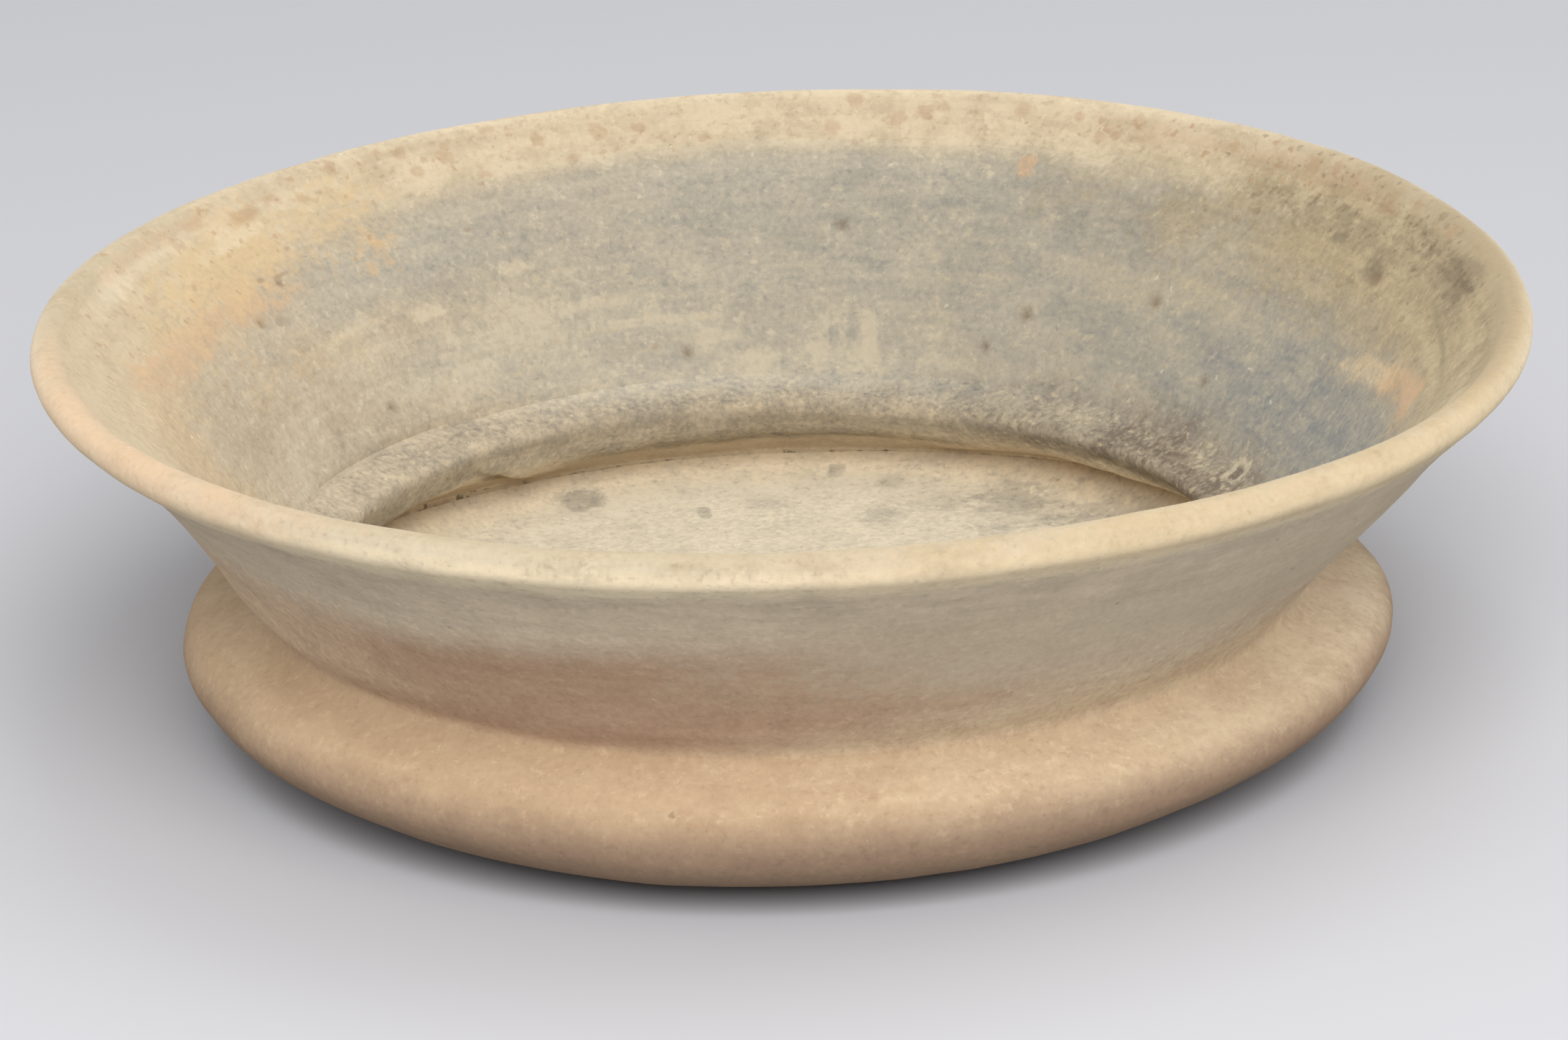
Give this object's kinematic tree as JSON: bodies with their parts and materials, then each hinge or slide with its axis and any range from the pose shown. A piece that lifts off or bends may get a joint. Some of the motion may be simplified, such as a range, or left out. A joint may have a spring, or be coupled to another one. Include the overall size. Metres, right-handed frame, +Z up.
{
  "type": "carinated bowl",
  "caption": "Open carinated bowl of unglazed buff clay: flat base, round-edged shoulder, narrow neck and wide flaring wall, for serving or holding food.",
  "frame": {"origin": "middle of the flat face under the bowl, on the surface it stands on", "axes": "+Z up along the bowl's axis; -Y towards the side that the picture shows nearest"},
  "size_m": [0.1724, 0.1724, 0.0486],
  "materials": {
    "floor_clay": "matt, gritty",
    "body_clay": "matt",
    "shoulder_clay": "matt",
    "neck_clay": "matt, gritty",
    "wall_clay": "matt, smudged grey",
    "rim_clay": "matt"
  },
  "bodies": {
    "root": {"base_disc": "floor_clay", "lower_body_ring": "body_clay", "shoulder_coil": "shoulder_clay", "neck_coil": "neck_clay", "lower_wall_band": "wall_clay", "upper_wall_band": "wall_clay", "rim_coil": "rim_clay"}
  },
  "joints": []
}
